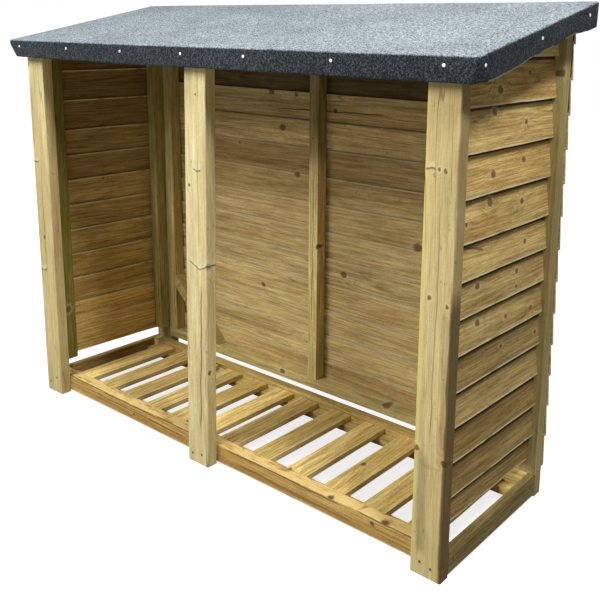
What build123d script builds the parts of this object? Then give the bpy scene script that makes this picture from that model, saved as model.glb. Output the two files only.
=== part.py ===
from build123d import *
import os

# Open-fronted log store, millimetres. +X runs along the front to the right, +Y towards the back,
# +Z up. The origin is on the ground, under the middle of the roof.

# Overall sizes
store_width = 1829.0          # over the outer faces of the end posts
store_depth = 579.0           # front face of the front posts to back face of the rear posts
front_height = 1348.0         # ground to the top of the roof at its front edge
rear_height = 1492.0          # ground to the top of the roof at its rear edge

# Roof
side_overhang = 56.0          # roof edge beyond the end posts
front_overhang = 32.0         # roof edge beyond the front posts
rear_overhang = 27.0          # roof edge beyond the rear posts
deck_thickness = 12.0
felt_thickness = 2.5
felt_front_drop = 57.0        # turned-down edge, measured straight down from the top
felt_side_drop = 61.0
felt_rear_drop = 45.0
batten_height = 40.0
batten_width = 28.0
batten_corner_gap = 45.0      # the battens stop this far short of the roof's front corners

# Posts, planed with eased arrises
post_width = 95.0
post_depth = 40.0
post_arris = 4.0
middle_post_foot_shift = 25.0 # its foot stands this far to the left of its head

# Base frame and floor
rail_height = 65.0
rail_thickness = 40.0         # front and rear rails
side_rail_thickness = 25.0
rail_ground_clearance = 7.0
rail_arris = 2.5
ledger_height = 26.0
ledger_depth = 40.0
ledger_arris = 1.0
slat_thickness = 18.0
slat_width = 82.0
slat_drop = 12.0              # slat tops below the rail tops
slats_per_bay = 6
left_slat_start = 60.0        # base side rail to the nearest slat
left_slat_end = 58.5          # middle of the store to the nearest slat
right_slat_start = 64.0
right_slat_end = -19.0        # this slat crosses the middle

# Wall frames
stud_size = 45.0
stud_arris = 2.0
side_stud_gap = 58.0          # base rail top to the lower ends of the studs
side_stud_inset = 40.0        # outer face of the end posts to the outer face of the side studs
centre_stud_width = 42.0
back_frame_gap = 17.0         # base rail top to the underside of the back frame
back_rail_height = 37.0
top_rail_height = 45.0
brace_width = 40.0
brace_reach = 264.0           # end stud to the far tip of the brace on the bottom rail
brace_rise = 245.0            # bottom rail to the top of the brace on the end stud

# Lapped boards, thinner at the top edge than at the bottom edge
side_board_height = 125.0
back_board_height = 108.0
board_top = 6.0
board_bottom = 13.0
lap_gap = 0.3                 # a board's lower edge to the face of the board below
least_board = 25.0            # a narrower strip under the roof is left out
side_board_gap = 55.0         # base rail top to the lowest side board
side_pitches = (80.0, 99.0, 98.0, 98.0, 98.0, 98.0, 96.0, 97.0, 112.0, 111.0, 111.0, 114.0)
back_board_drop = 3.0         # lowest back board below the back frame
back_pitches = (99.0,)        # from the lowest board up; the last one goes on to the roof

# Places that follow from the sizes above
roof_width = store_width + 2 * side_overhang
roof_depth = front_overhang + store_depth + rear_overhang
half_width = store_width / 2
roof_front_y = -roof_depth / 2
roof_rear_y = roof_depth / 2
posts_front_y = roof_front_y + front_overhang
posts_back_y = posts_front_y + post_depth
legs_back_y = posts_front_y + store_depth
legs_front_y = legs_back_y - post_depth
rail_top = rail_ground_clearance + rail_height
slat_top = rail_top - slat_drop
ledger_top = slat_top - slat_thickness
base_inner_front_y = posts_back_y + rail_thickness
base_inner_rear_y = legs_front_y - rail_thickness
base_inner_x = half_width - side_rail_thickness
back_frame_front_y = legs_back_y - stud_size
side_stud_bottom = rail_top + side_stud_gap
side_boards_bottom = rail_top + side_board_gap
back_rail_bottom = rail_top + back_frame_gap
back_rail_top = back_rail_bottom + back_rail_height
back_boards_bottom = back_rail_bottom - back_board_drop
side_stud_outer_x = half_width - side_stud_inset
side_stud_inner_x = side_stud_outer_x - stud_size
back_frame_half = min(half_width - post_width, side_stud_inner_x)

roof_rise = (rear_height - front_height) / roof_depth
roof_normal = Vector(0, -roof_rise, 1).normalized()


def roof_layer(depth_below_top):
    """Plane parallel to the roof, this far below its top surface, facing up."""
    top = Vector(0, roof_front_y, front_height)
    return Plane(origin=top - roof_normal * depth_below_top, x_dir=(1, 0, 0), z_dir=roof_normal)


def height_at(plane, y):
    """Height of a roof layer above the ground at this distance back."""
    return plane.origin.Z + (y - plane.origin.Y) * roof_rise


deck_upper = roof_layer(felt_thickness)
deck_under = roof_layer(felt_thickness + deck_thickness)
tall = rear_height + deck_thickness


def upright(centre_x, front_y, width, depth, bottom, top, arris, foot_shift=0):
    """Square timber standing on its end; what is above the underside of the deck is cut off.

    Its foot may stand to the left of its head, by foot_shift over the height of the front.
    """
    along = Vector(foot_shift, 0, front_height).normalized()
    with BuildPart() as piece:
        with BuildSketch(Plane.XY.offset(bottom)):
            with Locations((centre_x - foot_shift, front_y + depth / 2)):
                Rectangle(width, depth)
        extrude(amount=top - bottom, dir=along)
        fillet(piece.edges().filter_by(Axis((0, 0, 0), along)), radius=arris)
        split(bisect_by=deck_under, keep=Keep.BOTTOM)
    return piece.part


def bar_along_x(centre_x, length, front_y, depth, bottom, height, arris):
    """Horizontal timber that runs along the store."""
    with BuildPart() as piece:
        with BuildSketch(Plane.XY.offset(bottom)):
            with Locations((centre_x, front_y + depth / 2)):
                Rectangle(length, depth)
        extrude(amount=height)
        fillet(piece.edges().filter_by(Axis.X), radius=arris)
    return piece.part


def bar_along_y(centre_x, width, front_y, rear_y, bottom, height, arris):
    """Horizontal timber that runs from front to back."""
    with BuildPart() as piece:
        with BuildSketch(Plane.XY.offset(bottom)):
            with Locations((centre_x, (front_y + rear_y) / 2)):
                Rectangle(width, rear_y - front_y)
        extrude(amount=height)
        fillet(piece.edges().filter_by(Axis.Y), radius=arris)
    return piece.part


def lapped_boards(first_bottom, height, pitches, limit):
    """Section of each board, from the bottom up, as points (distance out from the studs, height).

    A board's top edge lies on the studs and its foot leans out over the face of the board below,
    clear of that board's top edge too.
    """
    outlines = []
    bottom = first_bottom
    foot = 0
    while bottom < limit - least_board:
        top = bottom + height
        outlines.append([(0, top), (foot, bottom), (foot + board_bottom, bottom), (board_top, top)])
        pitch = pitches[min(len(outlines), len(pitches)) - 1]
        share = pitch / height
        over_face = foot * (1 - share) + board_bottom + (board_top - board_bottom) * share + lap_gap
        over_top_edge = (board_top + lap_gap) / share
        foot = max(over_face, over_top_edge)
        bottom = bottom + pitch
    return outlines


def sloped_bar(left_x, width, front_y, rear_y, top_layer, height):
    """Roof timber whose top lies in a roof layer and whose ends are upright."""
    with BuildPart() as piece:
        with BuildSketch(Plane.YZ.offset(left_x)):
            with BuildLine():
                Polyline(
                    (front_y, height_at(top_layer, front_y)),
                    (rear_y, height_at(top_layer, rear_y)),
                    (rear_y, height_at(top_layer, rear_y) - height),
                    (front_y, height_at(top_layer, front_y) - height),
                    close=True,
                )
            make_face()
        extrude(amount=width)
    return piece.part


def save(piece, name):
    """Label one piece and write it to its own file."""
    piece.label = name
    export_step(piece, "parts/" + name + ".step")


os.makedirs("parts", exist_ok=True)

# Front posts and rear posts
post_centre_x = half_width - post_width / 2
for name, centre_x, front_y, foot_shift in (
    ("front_left_post", -post_centre_x, posts_front_y, 0),
    ("front_middle_post", 0, posts_front_y, middle_post_foot_shift),
    ("front_right_post", post_centre_x, posts_front_y, 0),
    ("rear_left_post", -post_centre_x, legs_front_y, 0),
    ("rear_right_post", post_centre_x, legs_front_y, 0),
):
    post = upright(centre_x, front_y, post_width, post_depth, 0, tall, post_arris, foot_shift)
    save(post, name)

# Base frame: the front and rear rails lie between the side rails
for name, front_y in (("base_front_rail", posts_back_y), ("base_rear_rail", base_inner_rear_y)):
    rail = bar_along_x(0, 2 * base_inner_x, front_y, rail_thickness,
                       rail_ground_clearance, rail_height, rail_arris)
    save(rail, name)

for name, side in (("base_left_rail", -1), ("base_right_rail", 1)):
    centre_x = side * (half_width - side_rail_thickness / 2)
    rail = bar_along_y(centre_x, side_rail_thickness, posts_back_y, legs_front_y,
                       rail_ground_clearance, rail_height, rail_arris)
    save(rail, name)

# Ledgers inside the front and rear rails, under the ends of the slats
for name, front_y in (
    ("front_slat_ledger", base_inner_front_y),
    ("rear_slat_ledger", base_inner_rear_y - ledger_depth),
):
    ledger = bar_along_x(0, 2 * base_inner_x, front_y, ledger_depth,
                         ledger_top - ledger_height, ledger_height, ledger_arris)
    save(ledger, name)

# Floor slats, one group in each bay
for name, side, start, end in (
    ("left_bay_slats", -1, left_slat_start, left_slat_end),
    ("right_bay_slats", 1, right_slat_start, right_slat_end),
):
    outermost = base_inner_x - start - slat_width / 2
    innermost = end + slat_width / 2
    pitch = (outermost - innermost) / (slats_per_bay - 1)
    with BuildPart() as slats:
        with BuildSketch(Plane.XY.offset(ledger_top)):
            for row in range(slats_per_bay):
                from_middle = outermost - row * pitch
                with Locations((side * from_middle, (base_inner_front_y + base_inner_rear_y) / 2)):
                    Rectangle(slat_width, base_inner_rear_y - base_inner_front_y)
        extrude(amount=slat_thickness)
    save(slats.part, name)

# Side wall studs, behind the front posts and in front of the rear posts
for side_name, side in (("left", -1), ("right", 1)):
    centre_x = side * (side_stud_outer_x - stud_size / 2)
    for end_name, front_y in (("front", posts_back_y), ("rear", legs_front_y - stud_size)):
        stud = upright(centre_x, front_y, stud_size, stud_size, side_stud_bottom, tall, stud_arris)
        save(stud, side_name + "_" + end_name + "_stud")

# Side wall boards, between the front and rear posts
for name, side in (("left_cladding", -1), ("right_cladding", 1)):
    outlines = lapped_boards(
        side_boards_bottom, side_board_height, side_pitches, height_at(deck_under, legs_front_y)
    )
    with BuildPart() as cladding:
        with BuildSketch(Plane.XZ.offset(-legs_front_y)):
            for outline in outlines:
                with BuildLine():
                    Polyline([(side * (side_stud_outer_x + out), z) for out, z in outline], close=True)
                make_face()
        extrude(amount=legs_front_y - posts_back_y)
        split(bisect_by=deck_under, keep=Keep.BOTTOM)
    save(cladding.part, name)

# Back wall frame between the rear posts
top_rail_bottom = height_at(deck_under, back_frame_front_y) - top_rail_height
end_stud_x = back_frame_half - stud_size / 2
for name, centre_x, width in (
    ("back_left_stud", -end_stud_x, stud_size),
    ("back_centre_stud", 0, centre_stud_width),
    ("back_right_stud", end_stud_x, stud_size),
):
    stud = upright(centre_x, back_frame_front_y, width, stud_size,
                   back_rail_top, top_rail_bottom, stud_arris)
    save(stud, name)

top_rail = upright(0, back_frame_front_y, 2 * back_frame_half, stud_size,
                   top_rail_bottom, tall, stud_arris)
save(top_rail, "back_top_rail")

back_rail = bar_along_x(0, 2 * back_frame_half, back_frame_front_y, stud_size,
                        back_rail_bottom, back_rail_height, stud_arris)
save(back_rail, "back_bottom_rail")

# Diagonal brace in the lower left corner of the back frame, mitred to the stud and the rail
brace_left_x = -back_frame_half + stud_size
brace_length = (brace_reach ** 2 + brace_rise ** 2) ** 0.5
foot_width = brace_width * brace_length / brace_rise
head_width = brace_width * brace_length / brace_reach
with BuildPart() as brace:
    with BuildSketch(Plane.XZ.offset(-legs_back_y)):
        with BuildLine():
            Polyline(
                (brace_left_x, back_rail_top + brace_rise - head_width),
                (brace_left_x, back_rail_top + brace_rise),
                (brace_left_x + brace_reach, back_rail_top),
                (brace_left_x + brace_reach - foot_width, back_rail_top),
                close=True,
            )
        make_face()
    extrude(amount=stud_size)
    grain = Axis((0, 0, 0), (brace_reach, 0, -brace_rise))
    fillet(brace.edges().filter_by(grain), radius=stud_arris)
save(brace.part, "back_corner_brace")

# Back wall boards, across the whole width and over the rear posts
outlines = lapped_boards(
    back_boards_bottom, back_board_height, back_pitches, height_at(deck_under, legs_back_y)
)
with BuildPart() as back_cladding:
    with BuildSketch(Plane.YZ.offset(-half_width)):
        for outline in outlines:
            with BuildLine():
                Polyline([(legs_back_y + out, z) for out, z in outline], close=True)
            make_face()
    extrude(amount=store_width)
    split(bisect_by=deck_under, keep=Keep.BOTTOM)
save(back_cladding.part, "back_cladding")


# Roof deck, with battens under its front and side edges
deck_half = roof_width / 2 - felt_thickness
deck_front_y = roof_front_y + felt_thickness
deck_rear_y = roof_rear_y - felt_thickness
deck_height = height_at(deck_upper, 0) - height_at(deck_under, 0)

deck = sloped_bar(-deck_half, 2 * deck_half, deck_front_y, deck_rear_y, deck_upper, deck_height)
save(deck, "roof_deck")

batten_half = deck_half - batten_corner_gap
side_batten_front_y = deck_front_y + batten_corner_gap
for name, left_x, width, front_y, rear_y in (
    ("roof_front_batten", -batten_half, 2 * batten_half, deck_front_y, posts_front_y),
    ("roof_left_batten", -deck_half, batten_width, side_batten_front_y, deck_rear_y),
    ("roof_right_batten", deck_half - batten_width, batten_width, side_batten_front_y, deck_rear_y),
):
    save(sloped_bar(left_x, width, front_y, rear_y, deck_under, batten_height), name)

# Roofing felt: one sheet over the deck, turned down at all four edges
with BuildPart() as felt:
    with BuildSketch(Plane.YZ.offset(-roof_width / 2)):
        with BuildLine():
            Polyline(
                (roof_front_y, front_height),
                (roof_rear_y, rear_height),
                (roof_rear_y, rear_height - felt_rear_drop),
                (deck_rear_y, rear_height - felt_rear_drop),
                (deck_rear_y, height_at(deck_upper, deck_rear_y)),
                (deck_front_y, height_at(deck_upper, deck_front_y)),
                (deck_front_y, front_height - felt_front_drop),
                (roof_front_y, front_height - felt_front_drop),
                close=True,
            )
        make_face()
    extrude(amount=roof_width)
    for left_x in (-roof_width / 2, deck_half):
        with BuildSketch(Plane.YZ.offset(left_x)):
            with BuildLine():
                Polyline(
                    (roof_front_y, front_height),
                    (roof_rear_y, rear_height),
                    (roof_rear_y, rear_height - felt_side_drop),
                    (roof_front_y, front_height - felt_side_drop),
                    close=True,
                )
            make_face()
        extrude(amount=felt_thickness)
save(felt.part, "roof_felt")
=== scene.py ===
"""Finish for an open-fronted log store: sawn and planed timber, mineral felt, nails and a studio.

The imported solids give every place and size. Boards, floor slats, the front rail and the roofing
felt are made again in finer meshes in the same places; the other timbers keep their solids and
get timber materials. Lengths are metres: +X along the front, +Y to the back, +Z up.
"""

import math
import random
from collections import namedtuple

import bmesh
import bpy
from bpy.props import FloatProperty, FloatVectorProperty, IntProperty, PointerProperty
from mathutils import Euler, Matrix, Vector, noise


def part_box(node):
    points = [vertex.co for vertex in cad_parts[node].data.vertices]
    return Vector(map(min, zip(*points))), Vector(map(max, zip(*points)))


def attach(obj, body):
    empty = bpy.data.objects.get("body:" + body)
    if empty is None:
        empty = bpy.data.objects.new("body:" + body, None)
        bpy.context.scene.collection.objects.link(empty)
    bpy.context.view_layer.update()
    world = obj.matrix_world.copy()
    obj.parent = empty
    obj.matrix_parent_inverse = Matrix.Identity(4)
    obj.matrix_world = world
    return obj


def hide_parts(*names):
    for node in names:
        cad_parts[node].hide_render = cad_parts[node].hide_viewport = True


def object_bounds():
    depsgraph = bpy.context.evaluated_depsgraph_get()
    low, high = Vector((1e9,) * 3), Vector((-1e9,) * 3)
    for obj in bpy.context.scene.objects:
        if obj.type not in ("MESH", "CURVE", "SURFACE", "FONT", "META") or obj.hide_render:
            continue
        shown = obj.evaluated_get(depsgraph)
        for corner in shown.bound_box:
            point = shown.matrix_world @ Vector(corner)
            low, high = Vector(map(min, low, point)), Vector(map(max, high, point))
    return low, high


bl_info = {
    "name": "Log Store Finish",
    "version": (1, 0, 0),
    "blender": (4, 5, 0),
    "location": "3D View > Sidebar > Log Store",
    "description": "Timber, roofing felt, nails and a studio for an open-fronted log store",
    "category": "Object",
}

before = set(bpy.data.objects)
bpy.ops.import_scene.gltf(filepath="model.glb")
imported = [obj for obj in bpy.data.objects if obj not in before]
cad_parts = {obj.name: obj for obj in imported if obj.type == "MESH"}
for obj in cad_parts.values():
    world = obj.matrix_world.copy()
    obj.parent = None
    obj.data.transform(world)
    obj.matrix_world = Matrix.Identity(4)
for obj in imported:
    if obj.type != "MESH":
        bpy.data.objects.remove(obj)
CAD_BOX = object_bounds()

ALONG_X, ALONG_Y, ALONG_Z = "XZY", "YZX", "ZXY"  # grain direction, then width, then thickness
FLAT_ALONG_Y = "YXZ"
TO_RIGHT, TO_LEFT = Vector((1.0, 0.0, 0.0)), Vector((-1.0, 0.0, 0.0))
TO_FRONT, TO_BACK = Vector((0.0, -1.0, 0.0)), Vector((0.0, 1.0, 0.0))
WHITE = (1.0, 1.0, 1.0, 1.0)
GREY = (0.5, 0.5, 0.5)  # the middle of a noise with three values

EDGE_BAND = 0.0030  # width of the pale strip beside a board's corners: rubbed wood with a painted highlight
LAP_SHADE_DEPTH = 0.030  # height of the strip of painted shade below each lap, more than a metre up
LOW_LAP_SHADE_EXTRA = 0.043  # how much higher that painted shade reaches next to the ground
WAVY_FOOT = 0.03  # height over which a wandering lower edge bends a board
KNOT_SPACING, KNOT_RADIUS, KNOT_DEPTH = 0.30, 0.0072, 0.035
FAR = 50.0  # distance in knot radii that stands for no knot at all
FRONT_DROP, SIDE_DROP, REAR_DROP = 0.0622, 0.0645, 0.0450  # usual depth of the felt's edges
TURNED_OVER_DECK = 0.016  # height of the felt's edge that lies flat against the roof boards
PULLED_IN = 0.045  # how far from a front corner the felt's edge is pulled in

# Marks in the timber, at places in the store: a knot and its width, sideways on the narrow face;
# a scar that rises to both sides of its middle; a split along the grain from start to end, or a
# dark band where it is wide; and a soft patch of colour round a place, with its reach along X, Y
# and Z, mostly a stain, but on the right post's inner arris a painted highlight.
Knot = namedtuple("Knot", "place width sideways", defaults=(False,))
Scar = namedtuple("Scar", "place reach rise")
Split = namedtuple("Split", "start end width depth")
StainAndHighlight = namedtuple("StainAndHighlight", "place reach colour strength")

# How strongly each kind of timber shows rings, streaks and the rest, between 0 and about 1, with
# the tint of its wood and of its pale corners, which are rubbed wood with a painted highlight.
Look = namedtuple("Look", "tint rings streaks knots green dirt checks edge_tint")

LOOKS = {
    "post": Look((1.00, 1.00, 1.00), 0.50, 0.50, 0.10, 0.25, 0.15, 0.6, (1.00, 1.00, 1.00)),
    "rail": Look((0.84, 0.67, 0.44), 0.70, 1.05, 0.40, 0.10, 0.60, 1.0, (0.98, 0.82, 0.48)),
    "slat": Look((1.14, 1.02, 0.76), 0.70, 1.10, 0.40, 0.40, 0.50, 0.5, (0.95, 0.88, 0.62)),
    "stud": Look((0.82, 0.80, 0.64), 0.55, 0.90, 0.25, 0.50, 0.40, 0.5, (1.00, 1.00, 1.00)),
    "side_board": Look((0.96, 0.81, 0.59), 1.00, 1.12, 0.35, 0.25, 0.50, 0.3, (1.00, 0.94, 0.82)),
    "back_board": Look((0.85, 0.75, 0.64), 0.65, 0.95, 0.35, 0.20, 0.60, 0.4, (0.66, 0.62, 0.53)),
    "roof_board": Look((0.50, 0.42, 0.34), 0.40, 0.60, 0.20, 0.10, 0.60, 0.2, (1.00, 1.00, 1.00)),
}


def on_face(y, knots=(), scars=(), splits=(), stains_and_highlights=()):
    """Marks on a face at y, from rows that begin with x and z; a split's end is x and z too."""
    return (*(Knot((x, y, z), width) for x, z, width in knots),
            *(Scar((x, y, z), reach, rise) for x, z, reach, rise in scars),
            *(Split((x, y, z), (end_x, y, end_z), width, depth)
              for x, z, end_x, end_z, width, depth in splits),
            *(StainAndHighlight((x, y, z), reach, colour, strength) for x, z, reach, colour, strength in stains_and_highlights))


# ---------------------------------------------------------------- settings


def colour_setting(name, description, *default):
    return FloatVectorProperty(name=name, description=description, subtype="COLOR", size=3,
                               min=0, max=1, default=default)


def length_setting(name, description, low, high, default):
    return FloatProperty(name=name, description=description, subtype="DISTANCE", unit="LENGTH",
                         min=low, max=high, default=default)


def power_setting(name, description, default):
    return FloatProperty(name=name, description=description, subtype="POWER", unit="POWER",
                         min=0, default=default)


class TimberSettings(bpy.types.PropertyGroup):
    early_wood: colour_setting("Early wood", "Colour of the pale part of each ring", 0.720, 0.620, 0.330)
    late_wood: colour_setting("Late wood", "Colour of the dark part of each ring", 0.440, 0.300, 0.110)
    knot_heart: colour_setting("Knot heart", "Colour inside a knot", 0.255, 0.092, 0.014)
    knot_rim: colour_setting("Knot rim", "Colour of the bark line round a knot", 0.050, 0.022, 0.006)
    treatment: colour_setting(
        "Preservative", "Green that the preservative leaves in the wood", 0.230, 0.225, 0.075)
    # this pale colour also paints the highlight along the boards' corners
    fresh_edge_and_highlight: colour_setting(
        "Fresh edge", "Colour where a corner is rubbed or splintered", 0.760, 0.680, 0.470)
    # this brown, darkened, also paints the shade below each lap
    dirt: colour_setting("Dirt", "Brown of handling marks and wet patches", 0.130, 0.080, 0.035)
    ring_spacing: length_setting("Ring spacing", "Width of one year's growth", 0.001, 0.02, 0.0060)
    arris: length_setting("Arris", "Width of the worn corner of a sawn board", 0.0002, 0.003, 0.0009)
    edge_wave: length_setting("Edge wave", "How far a board's lower edge wanders", 0, 0.005, 0.0014)
    seed: IntProperty(
        name="Seed", description="Start of the random draws for boards and slats",
        min=0, default=7)


class FeltSettings(bpy.types.PropertyGroup):
    pale_granule: colour_setting(
        "Pale granules", "Colour of the palest mineral grains", 0.425, 0.490, 0.520)
    dark_granule: colour_setting(
        "Dark granules", "Colour of the darkest mineral grains", 0.045, 0.058, 0.066)
    # painted shade: the turned-down edges are coloured far darker than the top
    edge_shade: colour_setting(
        "Edge shade", "Colour of the turned-down edges between the grains", 0.013, 0.016, 0.019)
    torn_edge: colour_setting(
        "Cut edge", "Colour of the fibre along the cut lower edge", 0.450, 0.400, 0.330)
    granule_size: length_setting("Granule size", "Size of one mineral grain", 0.0005, 0.01, 0.0016)
    thickness: length_setting("Thickness", "Thickness of the felt", 0.001, 0.006, 0.0024)
    fold_radius: length_setting(
        "Fold radius", "Radius of the fold over the edge of the roof", 0.002, 0.02, 0.005)
    ripple: length_setting("Ripple", "How far the free lower edge stands in and out", 0, 0.01, 0.003)


class NailSettings(bpy.types.PropertyGroup):
    clout_head: length_setting("Clout head", "Width of a roofing nail's head", 0.004, 0.02, 0.009)
    frame_head: length_setting(
        "Frame nail head", "Width of the heads in the posts and side rails", 0.003, 0.015, 0.008)
    zinc: colour_setting("Zinc", "Colour of the clean zinc coating", 0.780, 0.790, 0.800)
    tarnish: colour_setting("Tarnish", "Colour where the coating has dulled", 0.070, 0.055, 0.042)


class StageSettings(bpy.types.PropertyGroup):
    floor_colour: colour_setting("Floor", "Colour of the floor", 0.420, 0.415, 0.405)
    floor_glow: FloatProperty(
        name="Floor glow", description="White added to the floor where a camera or gloss sees it",
        min=0, max=1, default=0.80)
    camera_place: FloatVectorProperty(
        name="Camera place", description="Where the camera stands",
        subtype="TRANSLATION", unit="LENGTH", size=3, default=(1.8673, -1.8831, 1.3880))
    camera_turn: FloatVectorProperty(
        name="Camera turn", description="Which way the camera looks",
        subtype="EULER", unit="ROTATION", size=3,
        default=(math.radians(77.782), math.radians(-1.083), math.radians(38.595)))
    lens: FloatProperty(
        name="Lens", description="Focal length on a 36 mm sensor",
        subtype="DISTANCE_CAMERA", min=10, max=300, default=48.54)
    shift: FloatVectorProperty(
        name="Shift", description="How far the picture lies off the lens axis",
        size=2, default=(-0.0880, -0.1500))
    key_power: power_setting("Key lamp", "Lamp at the front, to the left", 262.0)
    top_power: power_setting("Top lamp", "Lamp overhead", 12.0)
    side_power: power_setting("Side lamp", "Small lamp high on the right, which draws the laps", 100.0)
    back_power: power_setting("Back lamp", "Weak wide lamp behind, to the left", 70.0)
    room_light: FloatProperty(
        name="Room light", description="Even light from all round", min=0, max=2, default=0.14)


# ---------------------------------------------------------------- node helpers


class Graph:
    """Short calls for adding nodes to one node tree and linking them."""

    def __init__(self, tree):
        self.tree = tree

    def feed(self, socket, value):
        if isinstance(value, bpy.types.NodeSocket):
            self.tree.links.new(value, socket)
        else:
            socket.default_value = value

    def add(self, kind, inputs=None, **settings):
        node = self.tree.nodes.new(kind)
        for name, value in settings.items():
            setattr(node, name, value)
        for key, value in (inputs or {}).items():
            self.feed(node.inputs[key], value)
        return node

    def math(self, operation, *values, clamp=False):
        node = self.add("ShaderNodeMath", dict(enumerate(values)), operation=operation, use_clamp=clamp)
        return node.outputs[0]

    def times(self, first, *others):
        for other in others:
            first = self.math("MULTIPLY", first, other)
        return first

    def line(self, value, slope, start, clamp=False):
        """The value times a slope, plus a start."""
        return self.math("MULTIPLY_ADD", value, slope, start, clamp=clamp)

    def ratio(self, first, second):
        return self.math("DIVIDE", first, second)

    def largest(self, first, second):
        return self.math("MAXIMUM", first, second)

    def size(self, value):
        return self.math("ABSOLUTE", value)

    def minus(self, vector, other):
        return self.vector("SUBTRACT", vector, other)

    def centred(self, value):
        """A value between 0 and 1, less a half."""
        return self.math("SUBTRACT", value, 0.5)

    def span(self, value, low, high, out_low=0.0, out_high=1.0):
        """Smooth step from out_low at low to out_high at high."""
        node = self.add("ShaderNodeMapRange", {
            "Value": value, "From Min": low, "From Max": high,
            "To Min": out_low, "To Max": out_high}, interpolation_type="SMOOTHSTEP")
        return node.outputs["Result"]

    def fade(self, value, low, high):
        """Smooth step from 1 at low to 0 at high."""
        return self.span(value, low, high, 1.0, 0.0)

    def vector(self, operation, first, second=(0.0, 0.0, 0.0)):
        node = self.add("ShaderNodeVectorMath", {0: first, 1: second}, operation=operation)
        return node.outputs["Value" if operation == "LENGTH" else "Vector"]

    def parts(self, vector):
        return self.add("ShaderNodeSeparateXYZ", {0: vector}).outputs

    def joined(self, x, y, z):
        return self.add("ShaderNodeCombineXYZ", {0: x, 1: y, 2: z}).outputs[0]

    def all_three(self, value):
        return self.joined(value, value, value)

    def shifted(self, position, seed, factors):
        """The position moved by a seed times three factors."""
        return self.vector("ADD", position, self.vector("MULTIPLY", self.all_three(seed), factors))

    def noise(self, position, along, across, detail=2.0, roughness=0.5, kind="Fac"):
        """Smooth noise that changes this fast along the first axis, and across it."""
        place = self.vector("MULTIPLY", position, (along, across, across))
        return self.add("ShaderNodeTexNoise", {
            "Vector": place, "Scale": 1.0, "Detail": detail, "Roughness": roughness}).outputs[kind]

    def draw(self, seed, kind):
        """A random colour or value for each seed."""
        return self.add("ShaderNodeTexWhiteNoise", {"W": seed}, noise_dimensions="1D").outputs[kind]

    def mix(self, factor, first, second, blend="MIX"):
        node = self.add("ShaderNodeMix", {0: factor, 6: first, 7: second},
                        data_type="RGBA", blend_type=blend)
        return node.outputs[2]

    def over(self, colour, mask, amount, target):
        """The colour with the target over it, by the amount where the mask is full."""
        return self.mix(self.times(mask, amount), colour, target)

    def lit(self, colour, light):
        """The colour times the light."""
        return self.mix(1.0, colour, light, "MULTIPLY")

    def attribute(self, name, kind="Fac"):
        return self.add("ShaderNodeAttribute", attribute_name=name).outputs[kind]

    def position(self):
        return self.add("ShaderNodeTexCoord").outputs["Object"]

    def place(self, group, *values):
        """A node group, with values or links for its inputs in their order; its outputs."""
        node = self.add("ShaderNodeGroup", node_tree=group)
        for socket, value in zip(node.inputs, values):
            self.feed(socket, value)
        return node.outputs

    def if_seen(self, lighting, seen):
        """One shader for lighting the scene, one where the camera sees, by gloss or glass too."""
        rays = self.add("ShaderNodeLightPath").outputs
        direct = self.math("MAXIMUM", rays["Is Camera Ray"], self.math(
            "MAXIMUM", rays["Is Glossy Ray"], rays["Is Transmission Ray"]))
        return self.add("ShaderNodeMixShader", {
            0: direct, 1: lighting.outputs[0], 2: seen.outputs[0]}).outputs[0]


def effect(name, vectors, values, results):
    """Turn a function that fills a node group into one that gives the group, built once.

    The function gets a graph and the group's inputs, vectors first, and returns its results.
    """
    def decorate(fill):
        def group():
            tree = bpy.data.node_groups.get(name)
            if tree:
                return tree
            tree = bpy.data.node_groups.new(name, "ShaderNodeTree")
            for direction, kind, sockets in (("INPUT", "Vector", vectors),
                                             ("INPUT", "Float", values),
                                             ("OUTPUT", "Float", results)):
                for socket in sockets:
                    tree.interface.new_socket(socket, in_out=direction, socket_type="NodeSocket" + kind)
            graph = Graph(tree)
            given = graph.add("NodeGroupInput").outputs
            made = graph.add("NodeGroupOutput").inputs
            inputs = [given[socket] for socket in (*vectors, *values)]
            for socket, value in zip(results, fill(graph, *inputs)):
                graph.feed(made[socket], value)
            return tree
        return group
    return decorate


def four(colour, tint=(1.0, 1.0, 1.0)):
    """A colour times a tint, as a socket takes it."""
    return (*(part * share for part, share in zip(colour, tint)), 1.0)


# ---------------------------------------------------------------- shared effects


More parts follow.
